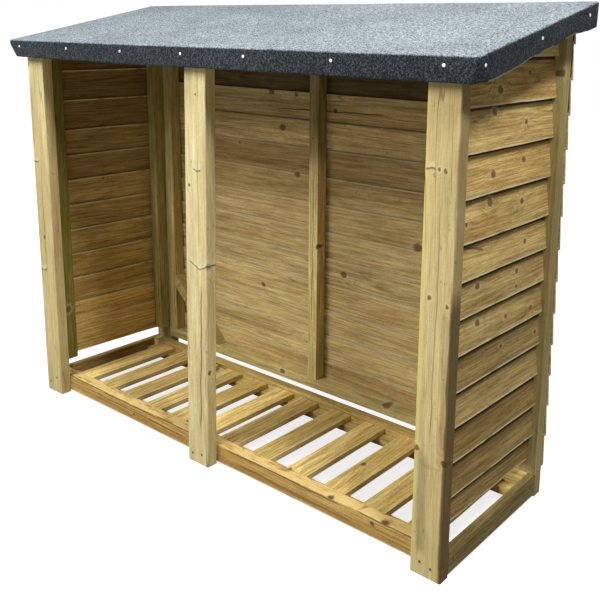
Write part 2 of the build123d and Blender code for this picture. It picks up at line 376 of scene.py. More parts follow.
@effect("Timber Grain", ("Position",), ("Seed", "Ring Spacing", "Flow"),
        ("Late Wood", "Fibre", "Drift", "Height"))
def timber_grain(graph, position, seed, ring_spacing, flow):
    """Growth rings, fibre and slow drift of solid timber that runs along the first axis."""
    draws = graph.parts(graph.draw(seed, "Color"))
    place = graph.shifted(position, seed, (3.71, 1.93, 2.57))
    along, across, depth = graph.parts(position)

    wander = graph.minus(graph.noise(place, 1.7, 6.0, kind="Color"), GREY)
    wander_across, wander_depth, _ = graph.parts(wander)
    off_centre = graph.line(graph.centred(draws[0]), 0.17, across)
    off_centre = graph.line(wander_across, 0.030, off_centre)
    below = graph.line(draws[1], 0.075, graph.math("ADD", depth, 0.030))
    below = graph.line(along, graph.times(graph.centred(draws[2]), 0.07), below)
    below = graph.line(wander_depth, 0.030, below)
    radius = graph.math("ADD", graph.vector("LENGTH", graph.joined(off_centre, below, 0.0)), flow)

    uneven = graph.noise(place, 4.0, 30.0)
    ring = graph.line(uneven, 1.1, graph.ratio(radius, ring_spacing))
    within = graph.math("FRACT", ring)
    year = graph.draw(graph.math("FLOOR", ring), "Value")
    clear = graph.span(graph.noise(place, 1.4, 13.0), 0.35, 0.65, 0.35, 1.0)
    late = graph.times(graph.span(within, 0.25, 0.85), graph.fade(within, 0.90, 1.00),
                       graph.times(clear, graph.line(year, 0.6, 0.4)))

    fine = graph.noise(place, 30.0, 380.0)
    coarse = graph.noise(place, 6.0, 110.0, detail=4.0, roughness=0.7)
    fuzz = graph.noise(place, 170.0, 260.0, detail=1.0)
    fibre = graph.line(coarse, 0.65, graph.times(fine, 0.2))
    fibre = graph.line(fuzz, 0.15, fibre)
    drift = graph.line(graph.centred(draws[2]), 0.30, graph.noise(place, 1.3, 9.0, detail=3.0))
    return late, fibre, drift, graph.line(late, 0.5, fine)


@effect("Scattered Knots", ("Position",), ("Seed", "Spacing", "Radius", "Share"), ("Nearest",))
def scattered_knots(graph, position, seed, spacing, radius, share):
    """Distance to the nearest of some randomly placed knots: 0 at its heart, 1 at its rim."""
    along, across, depth = graph.parts(position)
    aside = graph.line(depth, 0.8, across)
    narrow = graph.times(spacing, 0.72)
    cell = graph.joined(graph.line(seed, 5.17, graph.ratio(along, spacing)),
                        graph.line(seed, 3.31, graph.ratio(aside, narrow)), 0.0)
    cells = graph.add("ShaderNodeTexVoronoi", {"Vector": cell, "Scale": 1.0, "Randomness": 0.9},
                      voronoi_dimensions="2D")
    draws = graph.parts(cells.outputs["Color"])
    width = graph.times(radius, graph.line(draws[1], 1.1, 0.35))
    distance = graph.ratio(graph.times(cells.outputs["Distance"], narrow), width)
    missing = graph.math("GREATER_THAN", draws[0], share)
    return (graph.line(missing, FAR, distance),)


@effect("Placed Knot", ("Position", "Centre", "Size"), ("Nearest",), ("Nearest",))
def placed_knot(graph, position, centre, size, nearest):
    """The nearer of the knots so far and one more, at a centre and with its own size."""
    offset = graph.minus(position, centre)
    ratio = graph.vector("LENGTH", graph.vector("DIVIDE", offset, size))
    return (graph.math("MINIMUM", ratio, nearest),)


@effect("Knot Marks", ("Position",), ("Nearest",), ("Heart", "Rim", "Halo", "Years", "Flow"))
def knot_marks(graph, position, nearest):
    """Heart, rim and halo of a knot, and how far it pushes the rings aside."""
    patchy = graph.noise(position, 260.0, 260.0)
    heart = graph.fade(nearest, 0.45, 1.12)
    rim = graph.times(graph.span(nearest, 0.35, 0.80), graph.fade(nearest, 0.95, 1.30),
                      graph.span(patchy, 0.34, 0.56, 0.35, 1.0))
    halo = graph.times(graph.fade(nearest, 1.0, 2.6), graph.span(patchy, 0.30, 0.62))
    years = graph.math("SINE", graph.line(nearest, 15.0, graph.times(patchy, 5.0)))
    push = graph.times(graph.math("EXPONENT", graph.times(nearest, nearest, -0.16)), 0.020)
    return heart, rim, halo, years, push


@effect("Branch Scar", ("Position", "Centre"), ("Reach", "Rise"), ("Seam", "Fresh"))
def branch_scar(graph, position, centre, reach, rise):
    """Dark seam over an old branch, which rises to both sides, with pale wood above it."""
    along, across, _ = graph.parts(graph.minus(position, centre))
    side = graph.size(across)
    wobble = graph.noise(position, 60.0, 60.0)
    height = graph.math("SUBTRACT", along, graph.times(side, rise))
    height = graph.line(graph.centred(wobble), 0.014, height)
    inside = graph.fade(graph.ratio(side, reach), 0.85, 1.0)
    seam = graph.fade(graph.size(height), 0.0012, 0.0040)
    fresh = graph.times(graph.span(height, 0.001, 0.005), graph.fade(height, 0.006, 0.026))
    return graph.times(seam, inside), graph.times(fresh, inside)


@effect("Long Split", ("Position", "Start"), ("Length", "Drift", "Width"), ("Split",))
def long_split(graph, position, start, length, drift, width):
    """Split or dark band that follows the grain from one place to another, faded at its ends."""
    along, across, _ = graph.parts(graph.minus(position, start))
    share = graph.ratio(along, length)
    wobble = graph.noise(position, 9.0, 4.0, detail=3.0)
    offset = graph.line(share, drift, graph.times(graph.centred(wobble), 0.012))
    distance = graph.size(graph.math("SUBTRACT", across, offset))
    line = graph.fade(graph.ratio(distance, width), 0.3, 1.0)
    ends = graph.times(graph.span(share, 0.0, 0.12), graph.fade(share, 0.88, 1.0))
    return (graph.times(line, ends),)


@effect("Edge Wear And Highlight", ("Position",), ("Corner",), ("Wear",))
def edge_wear_and_highlight(graph, position, corner):
    """Broken pale line along a sawn corner: rubbed wood, with a painted highlight where the arris catches
    light.
    """
    broken = graph.noise(position, 16.0, 40.0, detail=3.0)
    splinters = graph.noise(position, 28.0, 420.0)
    broken = graph.times(graph.math("ADD", broken, splinters), 0.5)
    return (graph.times(corner, graph.span(broken, 0.38, 0.50)),)


@effect("Weathering", ("Position",), ("Seed",), ("Patches", "Streaks", "Spots"))
def weathering(graph, position, seed):
    """Soft patches, streaks along the grain and small spots left by weather and handling."""
    place = graph.shifted(position, seed, (1.31, 4.73, 2.11))
    return (graph.span(graph.noise(place, 2.1, 7.0, detail=4.0, roughness=0.6), 0.42, 0.72),
            graph.span(graph.noise(place, 1.2, 26.0, detail=3.0), 0.47, 0.75),
            graph.span(graph.noise(place, 45.0, 90.0), 0.66, 0.78))


@effect("Drying Checks", ("Position",), ("Seed",), ("Cracks",))
def drying_checks(graph, position, seed):
    """Thin cracks that open along the grain as timber dries."""
    place = graph.shifted(position, seed, (2.93, 1.17, 3.41))
    field = graph.noise(place, 1.1, 22.0, detail=1.0)
    line = graph.fade(graph.size(graph.centred(field)), 0.0, 0.010)
    where = graph.span(graph.noise(place, 2.3, 9.0, detail=1.0), 0.56, 0.66)
    return (graph.times(line, where),)


@effect("Mineral Granules", ("Position",), ("Size",), ("Tone", "Clumps", "Wash", "Height"))
def mineral_granules(graph, position, size):
    """Crushed mineral pressed into bitumen: tone of the grains, clumps, wash and height."""
    place = graph.vector("DIVIDE", position, graph.all_three(size))
    grains = graph.add("ShaderNodeTexVoronoi", {"Vector": place, "Scale": 1.0}).outputs
    groups = graph.add("ShaderNodeTexVoronoi", {"Vector": place, "Scale": 0.45}).outputs
    uneven = graph.noise(place, 0.28, 0.28, roughness=0.8)
    clumps = graph.times(graph.parts(groups["Color"])[1], 0.45)
    clumps = graph.line(graph.span(uneven, 0.34, 0.66), 0.55, clumps)
    wash = graph.noise(position, 5.0, 5.0, detail=3.0)
    tone = graph.parts(grains["Color"])[0]
    return tone, clumps, wash, graph.math("SUBTRACT", 1.0, grains["Distance"])


# ---------------------------------------------------------------- materials


def new_material(name):
    """An empty node material with its graph and its shader, already linked to the output."""
    material = bpy.data.materials.new(name)
    material.use_nodes = True
    material.node_tree.nodes.clear()
    graph = Graph(material.node_tree)
    shader = graph.add("ShaderNodeBsdfPrincipled")
    graph.add("ShaderNodeOutputMaterial", {"Surface": shader.outputs[0]})
    return material, graph, shader


def finish_shader(graph, shader, colour, roughness, height, bump, distance):
    normal = graph.add("ShaderNodeBump", {
        "Strength": bump, "Distance": distance, "Height": height}).outputs[0]
    for socket, value in (("Base Color", colour), ("Roughness", roughness), ("Normal", normal)):
        graph.feed(shader.inputs[socket], value)


def timber_material(name, kind, seed, order, centre=None, marks=(), tint=(1, 1, 1), lean=0.0):
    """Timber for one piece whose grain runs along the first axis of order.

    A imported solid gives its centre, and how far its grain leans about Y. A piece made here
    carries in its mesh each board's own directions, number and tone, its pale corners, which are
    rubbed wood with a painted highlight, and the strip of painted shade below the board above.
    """
    look = LOOKS[kind]
    timber = bpy.context.scene.log_store_timber
    material, graph, shader = new_material(name)
    store = graph.position()

    def in_order(values):
        return [values["XYZ".index(axis)] for axis in order]

    def reordered(vector):
        return graph.joined(*in_order(graph.parts(vector)))

    whole = reordered(store)
    if centre:
        turned = graph.add("ShaderNodeVectorRotate", {"Vector": store, "Center": centre,
                                                      "Angle": lean}, rotation_type="Y_AXIS")
        position = reordered(graph.minus(turned.outputs[0], centre))
        board_seed, tone, corner, lap_shade = seed, 0.0, 0.0, 0.0
    else:
        position = graph.attribute("grain", "Vector")
        board_seed = graph.math("ADD", graph.attribute("board"), seed)
        tone, corner, lap_shade = (graph.attribute(name) for name in ("tone", "corner", "lap_shade"))

    ragged = graph.noise(position, 70.0, 110.0, detail=3.0, kind="Color")
    ragged = graph.vector("MULTIPLY", graph.minus(ragged, GREY), (0.012, 0.007, 0.007))
    nearest = graph.place(scattered_knots(), graph.vector("ADD", position, ragged), board_seed,
                          KNOT_SPACING, KNOT_RADIUS, look.knots)[0]
    knot_place = graph.vector("ADD", whole, ragged)
    seams, fresh, splits, stains_and_highlights = 0.0, 0.0, 0.0, []
    for mark in marks:
        if isinstance(mark, Knot):
            wide = mark.width * 0.5
            face = (KNOT_DEPTH, wide) if mark.sideways else (wide, KNOT_DEPTH)
            nearest = graph.place(placed_knot(), knot_place, in_order(mark.place),
                                  (wide * 1.25, *face), nearest)[0]
        elif isinstance(mark, Scar):
            seam, pale = graph.place(branch_scar(), whole, in_order(mark.place), mark.reach, mark.rise)
            seams = graph.largest(seam, seams)
            fresh = graph.largest(pale, fresh)
        elif isinstance(mark, StainAndHighlight):
            away = graph.place(placed_knot(), knot_place, in_order(mark.place),
                               in_order(mark.reach), FAR)[0]
            stains_and_highlights.append((graph.span(away, 0.4, 1.0, mark.strength, 0.0), mark.colour))
        else:
            start, end = in_order(mark.start), in_order(mark.end)
            split = graph.place(long_split(), whole, start, end[0] - start[0], end[1] - start[1],
                                mark.width)[0]
            splits = graph.largest(graph.times(split, mark.depth), splits)
    heart, rim, halo, years, flow = graph.place(knot_marks(), position, nearest)
    late_wood, fibre, drift, height = graph.place(
        timber_grain(), position, board_seed, timber.ring_spacing, flow)
    patches, streaks, spots = graph.place(weathering(), position, board_seed)
    cracks = graph.place(drying_checks(), position, board_seed)[0]
    rubbed = graph.place(edge_wear_and_highlight(), position, corner)[0]

    tint = [part * own for part, own in zip(look.tint, tint)]
    late_tone, rim_tone = four(timber.late_wood, tint), four(timber.knot_rim)
    fresh_and_highlight_tone = four(timber.fresh_edge_and_highlight, look.edge_tint)
    colour = graph.mix(graph.times(late_wood, look.rings), four(timber.early_wood, tint), late_tone)
    colour = graph.mix(graph.span(drift, 0.32, 0.72, 0.0, 0.55), colour, late_tone)
    colour = graph.over(colour, patches, look.green, four(timber.treatment, tint))
    colour = graph.over(colour, streaks, look.dirt * 0.6, four(timber.dirt, tint))
    light = graph.line(graph.centred(fibre), 3.4 * look.streaks, 1.0)
    warm_light = graph.joined(graph.line(light, 0.82, 0.18), light, graph.line(light, 1.25, -0.25))
    colour = graph.lit(colour, warm_light)
    # board tones, which on the walls and the left floor slat also carry painted light and shade
    colour = graph.lit(colour, graph.all_three(graph.line(tone, 0.35, 1.0)))
    colour = graph.over(colour, spots, 0.45, four(timber.dirt))
    # pale corners: rubbed wood with a painted highlight along the arris
    colour = graph.over(colour, rubbed, 0.9, fresh_and_highlight_tone)
    colour = graph.over(colour, fresh, 0.4, fresh_and_highlight_tone)
    # soft patches: stains, and the painted highlight on the right post's arris
    for share, patch_colour in stains_and_highlights:
        colour = graph.mix(share, colour, four(patch_colour))
    # painted shade below each lap: a soft darkening, then a dark line just under the board above
    for mask, amount, shade in ((graph.math("POWER", lap_shade, 1.5), 0.75, 0.45),
                                (graph.span(lap_shade, 0.64, 0.76), 0.92, 0.12)):
        colour = graph.over(colour, mask, amount, four(timber.dirt, [shade] * 3))
    colour = graph.over(colour, halo, 0.32, fresh_and_highlight_tone)
    knot_tone = graph.mix(graph.line(years, 0.30, 0.30), four(timber.knot_heart), rim_tone)
    colour = graph.over(colour, heart, 0.90, knot_tone)
    colour = graph.over(colour, rim, 0.60, rim_tone)
    dark = graph.largest(graph.times(cracks, look.checks), splits)
    dark = graph.largest(graph.times(seams, 0.65), dark)
    colour = graph.mix(dark, colour, rim_tone)

    rough = graph.line(heart, -0.15, graph.line(fibre, 0.25, 0.60))
    height = graph.line(dark, -2.0, graph.line(heart, 0.8, height))
    shader.inputs["Specular IOR Level"].default_value = 0.06
    finish_shader(graph, shader, colour, rough, height, 0.45, 0.0008)
    return material


def felt_material():
    """Mineral felt, whose turned-down edges are painted nearly black as painted shade, frayed where it is
    cut.
    """
    felt = bpy.context.scene.log_store_felt
    material, graph, shader = new_material("mineral_felt")
    position = graph.position()
    grain, clumps, wash, height = graph.place(mineral_granules(), position, felt.granule_size)
    tone = graph.span(graph.line(grain, 0.40, graph.times(clumps, 0.60)), 0.22, 0.78)
    top = graph.mix(tone, four(felt.dark_granule), four(felt.pale_granule))
    # painted shade on the turned-down edges, with only a few pale grains
    edge = graph.mix(graph.span(tone, 0.50, 1.00, 0.0, 0.15), four(felt.edge_shade), four(felt.pale_granule))
    colour = graph.mix(graph.attribute("turned_down"), top, edge)
    colour = graph.lit(colour, graph.all_three(graph.span(wash, 0.25, 0.75, 0.85, 1.12)))
    fray = graph.span(graph.noise(position, 14.0, 14.0, detail=3.0), 0.44, 0.56)
    fray = graph.times(graph.span(graph.attribute("hem"), 0.30, 0.70), fray)
    colour = graph.mix(fray, colour, four(felt.torn_edge))
    shader.inputs["Specular IOR Level"].default_value = 0.10
    finish_shader(graph, shader, colour, graph.line(grain, 0.2, 0.72), height, 0.6, 0.0008)
    return material


def nail_material(name, tarnish_share):
    nails = bpy.context.scene.log_store_nails
    material, graph, shader = new_material(name)
    place = graph.vector("MULTIPLY", graph.position(), (60.0, 20.0, 20.0))
    patches, _, spots = graph.place(weathering(), place, 3.0)
    dull = graph.line(patches, 0.5, tarnish_share, clamp=True)
    shader.inputs["Metallic"].default_value = 0.55
    finish_shader(graph, shader, graph.mix(dull, four(nails.zinc), four(nails.tarnish)),
                  graph.line(dull, 0.3, 0.42), spots, 0.3, 0.0003)
    return material


# ---------------------------------------------------------------- meshes


def boards_of(node_name):
    """The separate boards in a node, each as (corner points, faces), lowest and leftmost first."""
    whole = bmesh.new()
    whole.from_mesh(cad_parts[node_name].data)
    bmesh.ops.remove_doubles(whole, verts=whole.verts[:], dist=0.00002)
    bmesh.ops.dissolve_limit(whole, angle_limit=0.01, verts=whole.verts[:], edges=whole.edges[:])
    whole.verts.index_update()
    whole.faces.index_update()
    left = set(whole.verts)
    boards = []
    while left:
        found, front = set(), [next(iter(left))]
        while front:
            corner = front.pop()
            if corner not in found:
                found.add(corner)
                front.extend(edge.other_vert(corner) for edge in corner.link_edges)
        left -= found
        corners = sorted(found, key=lambda corner: corner.index)
        row = {corner: index for index, corner in enumerate(corners)}
        faces = sorted({face for corner in corners for face in corner.link_faces},
                       key=lambda face: face.index)
        boards.append(([corner.co.copy() for corner in corners],
                       [[row[corner] for corner in face.verts] for face in faces]))
    whole.free()
    boards.sort(key=lambda board: (round(min(p.z for p in board[0]), 3),
                                   round(min(p.x for p in board[0]), 3)))
    return boards


def cut_board(board, axis, across, step, arris, levels):
    """One board with worn arrises, cut into slices, beside its edges and at levels; a bmesh."""
    points, faces = board
    piece = bmesh.new()
    corners = [piece.verts.new(point) for point in points]
    for face in faces:
        piece.faces.new([corners[index] for index in face])
    if arris:
        bmesh.ops.bevel(piece, geom=piece.edges[:], offset=arris, segments=2, profile=0.6,
                        affect="EDGES", clamp_overlap=True)

    def cut(direction, distance):
        normal = Vector([float(index == direction) for index in range(3)])
        bmesh.ops.bisect_plane(piece, geom=piece.verts[:] + piece.edges[:] + piece.faces[:],
                               dist=0.000001, plane_co=normal * distance, plane_no=normal)

    low = min(point[axis] for point in points)
    high = max(point[axis] for point in points)
    slices = max(2, round((high - low) / step))
    for index in range(1, slices):
        cut(axis, low + (high - low) * index / slices)
    for band in (EDGE_BAND, 2 * EDGE_BAND):
        cut(across, min(point[across] for point in points) + band)
        cut(across, max(point[across] for point in points) - band)
    for level in levels:
        cut(2, level)
    return piece


def wave(along, row, length, size):
    """Smooth random offset along a board; each row of boards has its own."""
    return size * noise.noise(Vector((along / length, row * 7.31, size * 1000.0)))


def wavy_foot(along, height, row, long, short, short_row):
    """Rise of a board's lower edge, in a long and a short wave that fade out up the board."""
    size = bpy.context.scene.log_store_timber.edge_wave
    foot = max(0.0, 1.0 - height / WAVY_FOOT)
    return foot * (wave(along, row, long, size) + wave(along, row + short_row, short, size * 0.3))


def add_piece(name, points, faces, material, attributes=None, smooth=False):
    """Mesh object with one material, point attributes, and a place on the root body."""
    mesh = bpy.data.meshes.new(name)
    mesh.from_pydata([tuple(point) for point in points], [], faces)
    mesh.materials.append(material)
    for label, values in (attributes or {}).items():
        vector = isinstance(values[0], Vector)
        layer = mesh.attributes.new(label, "FLOAT_VECTOR" if vector else "FLOAT", "POINT")
        if vector:
            layer.data.foreach_set("vector", [part for value in values for part in value])
        else:
            layer.data.foreach_set("value", values)
    mesh.polygons.foreach_set("use_smooth", [smooth] * len(mesh.polygons))
    mesh.validate()
    piece = bpy.data.objects.new(name, mesh)
    bpy.context.scene.collection.objects.link(piece)
    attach(piece, "root")
    return piece


def take_place(piece, node_name):
    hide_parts(node_name)


def boarded_piece(name, node_name, kind, seed, order, step, shape, tones, marks=(),
                  indoors=None, outward=None, arris=None):
    """Piece made of a node's boards, cut fine and shaped by shape(point, row, low, high).

    Kind, seed, order and marks are those of its timber.
    Each board has a tone. Where boards lap, outward is the way their weathered faces look; those
    faces get a strip of painted shade below each lap, and their other faces take the tones of indoors.
    """
    if arris is None:
        arris = bpy.context.scene.log_store_timber.arris
    axes = ["XYZ".index(letter) for letter in order]
    boards = boards_of(node_name)
    feet = [min(point.z for point in corners) for corners, _ in boards]
    feet.append(feet[-1] + 1.0)  # nothing laps over the highest board
    points, faces = [], []
    grown = {label: [] for label in ("grain", "board", "tone", "corner", "lap_shade")}
    for row, board in enumerate(boards):
        low = Vector([min(p[axis] for p in board[0]) for axis in range(3)])
        high = Vector([max(p[axis] for p in board[0]) for axis in range(3)])
        middle = (low + high) / 2
        # height of the painted shade below the lap, taller near the ground
        shade_depth = LAP_SHADE_DEPTH + LOW_LAP_SHADE_EXTRA * max(0.0, 1.0 - low.z)
        lap = feet[row + 1]
        piece = cut_board(board, axes[0], axes[1], step, arris, [lap - shade_depth, lap] if outward else [])
        piece.normal_update()
        first = len(points)
        for corner in sorted(piece.verts, key=lambda corner: tuple(corner.co)):
            corner.index = len(points) - first  # in order of place, so the same each run
            place, width = corner.co, axes[1]
            to_edge = min(place[width] - low[width], high[width] - place[width])
            facing = corner.normal.dot(outward) if outward else 0.0
            grown["grain"].append(Vector([(place - middle)[axis] for axis in axes]))
            grown["board"].append(float(row))
            grown["tone"].append((indoors if facing < -0.3 else tones)[row])
            grown["corner"].append(float(to_edge < 1.5 * EDGE_BAND))
            # painted shade mask: full at the lap, none at the cut below it, on outward faces only
            grown["lap_shade"].append(float(facing > 0.3 and place.z > lap - 0.0005))
            points.append(shape(place.copy(), row, low, high))
        cut_faces = sorted(piece.faces, key=lambda face: tuple(face.calc_center_median()))
        faces.extend([[first + corner.index for corner in face.verts] for face in cut_faces])
        piece.free()
    material = timber_material("timber_" + name, kind, seed, order, marks=marks)
    take_place(add_piece(name, points, faces, material, grown), node_name)


def dress_solids(kind, order, names, marks=None, tint=(1, 1, 1), lean=0.0):
    """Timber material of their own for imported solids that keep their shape."""
    for number, name in enumerate(names):
        low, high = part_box(name)
        material = timber_material(
            "timber_" + name, kind, 10.0 + 3.7 * number + len(name), order, (low + high) / 2,
            (marks or {}).get(name, ()), tint, lean)
        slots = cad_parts[name].material_slots
        if slots:
            slots[0].material = material
        else:
            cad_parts[name].data.materials.append(material)


def nail_heads(name, places, width, height, material):
    """Domed nail heads, all in one mesh; a place is (point on the surface, outward direction)."""
    rings = ((0.50, 0.0), (0.50, 0.45), (0.44, 0.75), (0.25, 0.95))  # shares of width and height
    segments = 14
    points, faces = [], []
    for centre, outward in places:
        turn = outward.to_track_quat("Z", "Y").to_matrix()
        first = len(points)
        for radius, rise in rings:
            for angle in (math.tau * step / segments for step in range(segments)):
                local = Vector((radius * width * math.cos(angle), radius * width * math.sin(angle),
                                rise * height))
                points.append(centre + turn @ local)
        crown = len(points)
        points.append(centre + turn @ Vector((0.0, 0.0, height)))
        faces.append([first + step for step in reversed(range(segments))])
        for below in range(first, crown - segments, segments):
            for step in range(segments):
                after, above = (step + 1) % segments, below + segments
                faces.append([below + step, below + after, above + after, above + step])
        last = crown - segments
        faces.extend([[last + step, last + (step + 1) % segments, crown] for step in range(segments)])
    add_piece(name, points, faces, material, smooth=True)


# ---------------------------------------------------------------- operators


class LOGSTORE_OT_posts(bpy.types.Operator):
    """Give the five posts planed, treated timber with their knots and checks"""

    bl_idname = "logstore.posts"
    bl_label = "Posts"

    def execute(self, context):
        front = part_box("front_left_post")[0].y
        (right_inner, right_front, _), (right_side, _, _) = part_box("front_right_post")
        knot_reach, knot_brown = (0.022, 0.030, 0.016), (0.420, 0.215, 0.075)
        marks = {
            "front_left_post": on_face(
                front, knots=((-0.910, 1.261, 0.010), (-0.8745, 0.620, 0.013)),
                scars=((-0.900, 0.905, 0.020, 0.25), (-0.892, 0.490, 0.022, 0.30)),
                splits=((-0.874, 0.52, -0.868, 0.93, 0.004, 0.35),
                        (-0.905, 0.95, -0.900, 1.20, 0.010, 0.25))),
            "front_middle_post": on_face(
                front, knots=((0.001, 1.208, 0.008), (-0.036, 0.930, 0.009)),
                scars=((0.004, 0.668, 0.050, 0.45), (0.000, 0.975, 0.018, 0.40)),
                splits=((-0.006, 0.10, 0.010, 0.64, 0.0035, 0.75),
                        (0.022, 0.22, 0.026, 0.50, 0.0030, 0.45),
                        (0.002, 0.73, 0.004, 1.17, 0.0030, 0.30))) + (
                Knot((0.050, front + 0.004, 0.680), 0.030),
                Knot((0.0473, -0.240, 1.232), 0.010, True),
                Knot((0.0473, -0.241, 1.200), 0.010, True),
                Knot((0.030, -0.276, 0.330), 0.014, True)),
            "front_right_post": on_face(
                right_front,
                knots=((0.861, 1.083, 0.009), (0.878, 1.080, 0.010), (0.847, 0.765, 0.010),
                       (0.899, 0.751, 0.009), (0.828, 0.359, 0.014), (0.908, 0.342, 0.014)),
                scars=((0.837, 1.083, 0.014, -0.10),),
                splits=((0.850, 0.05, 0.846, 0.36, 0.022, 0.30),
                        (0.905, 0.30, 0.893, 0.76, 0.014, 0.22),
                        (right_side, -0.15, right_side, 0.85, 0.012, 0.82),
                        (right_side, 0.60, right_side, 1.38, 0.006, 0.35),
                        (0.866, 0.36, 0.870, 1.02, 0.0035, 0.35)),
                stains_and_highlights=((0.832, 0.352, knot_reach, knot_brown, 0.45),
                        (0.904, 0.338, knot_reach, knot_brown, 0.45),
                        (0.868, 0.318, (0.030, 0.030, 0.010), (0.400, 0.210, 0.075), 0.35),
                        # painted highlight: a pale yellow strip down the post's inner front arris, where
                        # light catches it
                        (right_inner, 0.74, (0.022, 0.014, 1.10), (0.690, 0.580, 0.180), 0.55))),
            "rear_right_post": (Knot((0.914, 0.248, 1.295), 0.018, True),),
        }
        for names, tint in ((("front_left_post", "front_middle_post"), (1, 1, 1)),
                            (("front_right_post",), (0.94, 0.90, 0.84)),
                            (("rear_left_post", "rear_right_post"), (0.58, 0.56, 0.46))):
            dress_solids("post", ALONG_Z, names, marks, tint)
        return {"FINISHED"}


class LOGSTORE_OT_base_frame(bpy.types.Operator):
    """Make the rough front rail and finish the other base rails and the ledgers"""

    bl_idname = "logstore.base_frame"
    bl_label = "Base frame"

    def execute(self, context):
        def shape(point, row, low, high):
            near_top = max(0.0, (point.z - high.z + 0.012) / 0.012)
            chip = noise.noise(Vector((point.x * 31.0, 4.0, point.y * 20.0)))
            splinter = noise.noise(Vector((point.x * 120.0, 9.0, point.y * 35.0)))
            point.z -= near_top * (0.0015 + max(0.0, chip) * 0.006 + max(0.0, splinter) * 0.0025)
            point.y += wave(point.x, 1, 0.6, 0.0010)
            return point

        low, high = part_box("base_front_rail")
        marks = on_face(
            low.y, knots=((-0.420, 0.030, 0.009),),
            splits=[(-0.75, 0.045, -0.10, 0.036, 0.004, 0.50),
                    (0.10, 0.030, 0.60, 0.024, 0.006, 0.40)]
            + [(start, high.z - below, start + length, high.z - below - 0.002, 0.003, 0.75)
               for start, length, below in ((-0.85, 0.26, 0.006), (-0.62, 0.30, 0.009),
                                            (-0.30, 0.22, 0.006), (0.06, 0.30, 0.007),
                                            (0.30, 0.26, 0.010), (0.60, 0.22, 0.006))],
            stains_and_highlights=[(x, z, (reach, 0.020, 0.007), (0.045, 0.026, 0.012), 0.85)
                    for x, z, reach in ((0.510, 0.071, 0.016), (0.706, 0.071, 0.020),
                                        (0.663, 0.050, 0.010))])
        boarded_piece("front_rail_sawn", "base_front_rail", "rail", 2.0, ALONG_X, 0.008,
                      shape, [0.0], marks, arris=0.0)  # its solid is rounded already
        for order, names, tint in (
                (ALONG_X, ("base_rear_rail", "front_slat_ledger", "rear_slat_ledger"),
                 (1.02, 1.16, 1.25)),
                (ALONG_Y, ("base_left_rail",), (0.72, 0.74, 0.72)),
                (ALONG_Y, ("base_right_rail",), (0.50, 0.60, 0.72))):
            dress_solids("rail", order, names, tint=tint)
        return {"FINISHED"}


class LOGSTORE_OT_floor_slats(bpy.types.Operator):
    """Make the floor slats, a little askew, with worn arrises"""

    bl_idname = "logstore.floor_slats"
    bl_label = "Floor slats"

    def execute(self, context):
        draw = random.Random(context.scene.log_store_timber.seed)
        marks = (Knot((0.251, -0.191, 0.075), 0.014), Knot((0.301, -0.195, 0.075), 0.016))
        for name, node_name in (("left_floor_slats", "left_bay_slats"),
                                ("right_floor_slats", "right_bay_slats")):
            turns = [draw.uniform(-0.010, 0.010) for _ in range(8)]
            tones = [draw.uniform(-0.35, 0.35) for _ in range(8)]
            if name == "left_floor_slats":
                tones[0] = 1.1  # painted light: the slat beside the left rail is made paler against the left wall's shadow

            def shape(point, row, low, high):
                middle_y = (low.y + high.y) / 2
                point.x += (point.y - middle_y) * turns[row]
                side = 1.0 if point.x > (low.x + high.x) / 2 else -1.0
                point.x += wave(point.y, row + side, 0.09, 0.0009)
                point.z += wave(point.y, row, 0.30, 0.0008)
                return point

            boarded_piece(name, node_name, "slat", 5.0 + len(name), FLAT_ALONG_Y, 0.03,
                          shape, tones, marks)
        return {"FINISHED"}


class LOGSTORE_OT_wall_frames(bpy.types.Operator):
    """Finish the studs, the back frame and its corner brace"""

    bl_idname = "logstore.wall_frames"
    bl_label = "Wall frames"

    def execute(self, context):
        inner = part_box("left_front_stud")[1].x
        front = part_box("back_bottom_rail")[0].y
        marks = {
            "left_front_stud": (Knot((inner, -0.232, 0.332), 0.020, True),),
            "left_rear_stud": (Knot((inner, 0.181, 0.222), 0.016, True),),
            "back_bottom_rail": on_face(front, knots=((-0.149, 0.114, 0.020),
                                                      (0.345, 0.127, 0.024))),
            "back_centre_stud": on_face(front, knots=((0.020, 0.640, 0.014),),
                                        splits=((-0.005, 0.30, 0.004, 0.95, 0.004, 0.4),
                                                # painted shade: a wide dark band over the stud's upper
                                                # part, under the roof
                                                (0.0, 0.90, 0.0, 1.70, 0.070, 0.48))),
        }
        low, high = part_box("back_corner_brace")
        slope = math.atan2(high.z - low.z, high.x - low.x)
        for order, names, tint, lean in (
                (ALONG_Z, ("left_rear_stud", "right_front_stud", "right_rear_stud"),
                 (0.74, 0.76, 0.62), 0.0),
                # painted shade: the left front stud is darkened as if in the left wall's shade
                (ALONG_Z, ("left_front_stud",), (0.41, 0.45, 0.26), 0.0),
                (ALONG_Z, ("back_centre_stud",), (1.30, 1.30, 1.40), 0.0),
                (ALONG_Z, ("back_left_stud", "back_right_stud"), (1, 1, 1), 0.0),
                (ALONG_X, ("back_bottom_rail", "back_top_rail"), (1, 1, 1), 0.0),
                (ALONG_X, ("back_corner_brace",), (1, 1, 1), slope)):
            dress_solids("stud", order, names, marks, tint, lean)
        return {"FINISHED"}


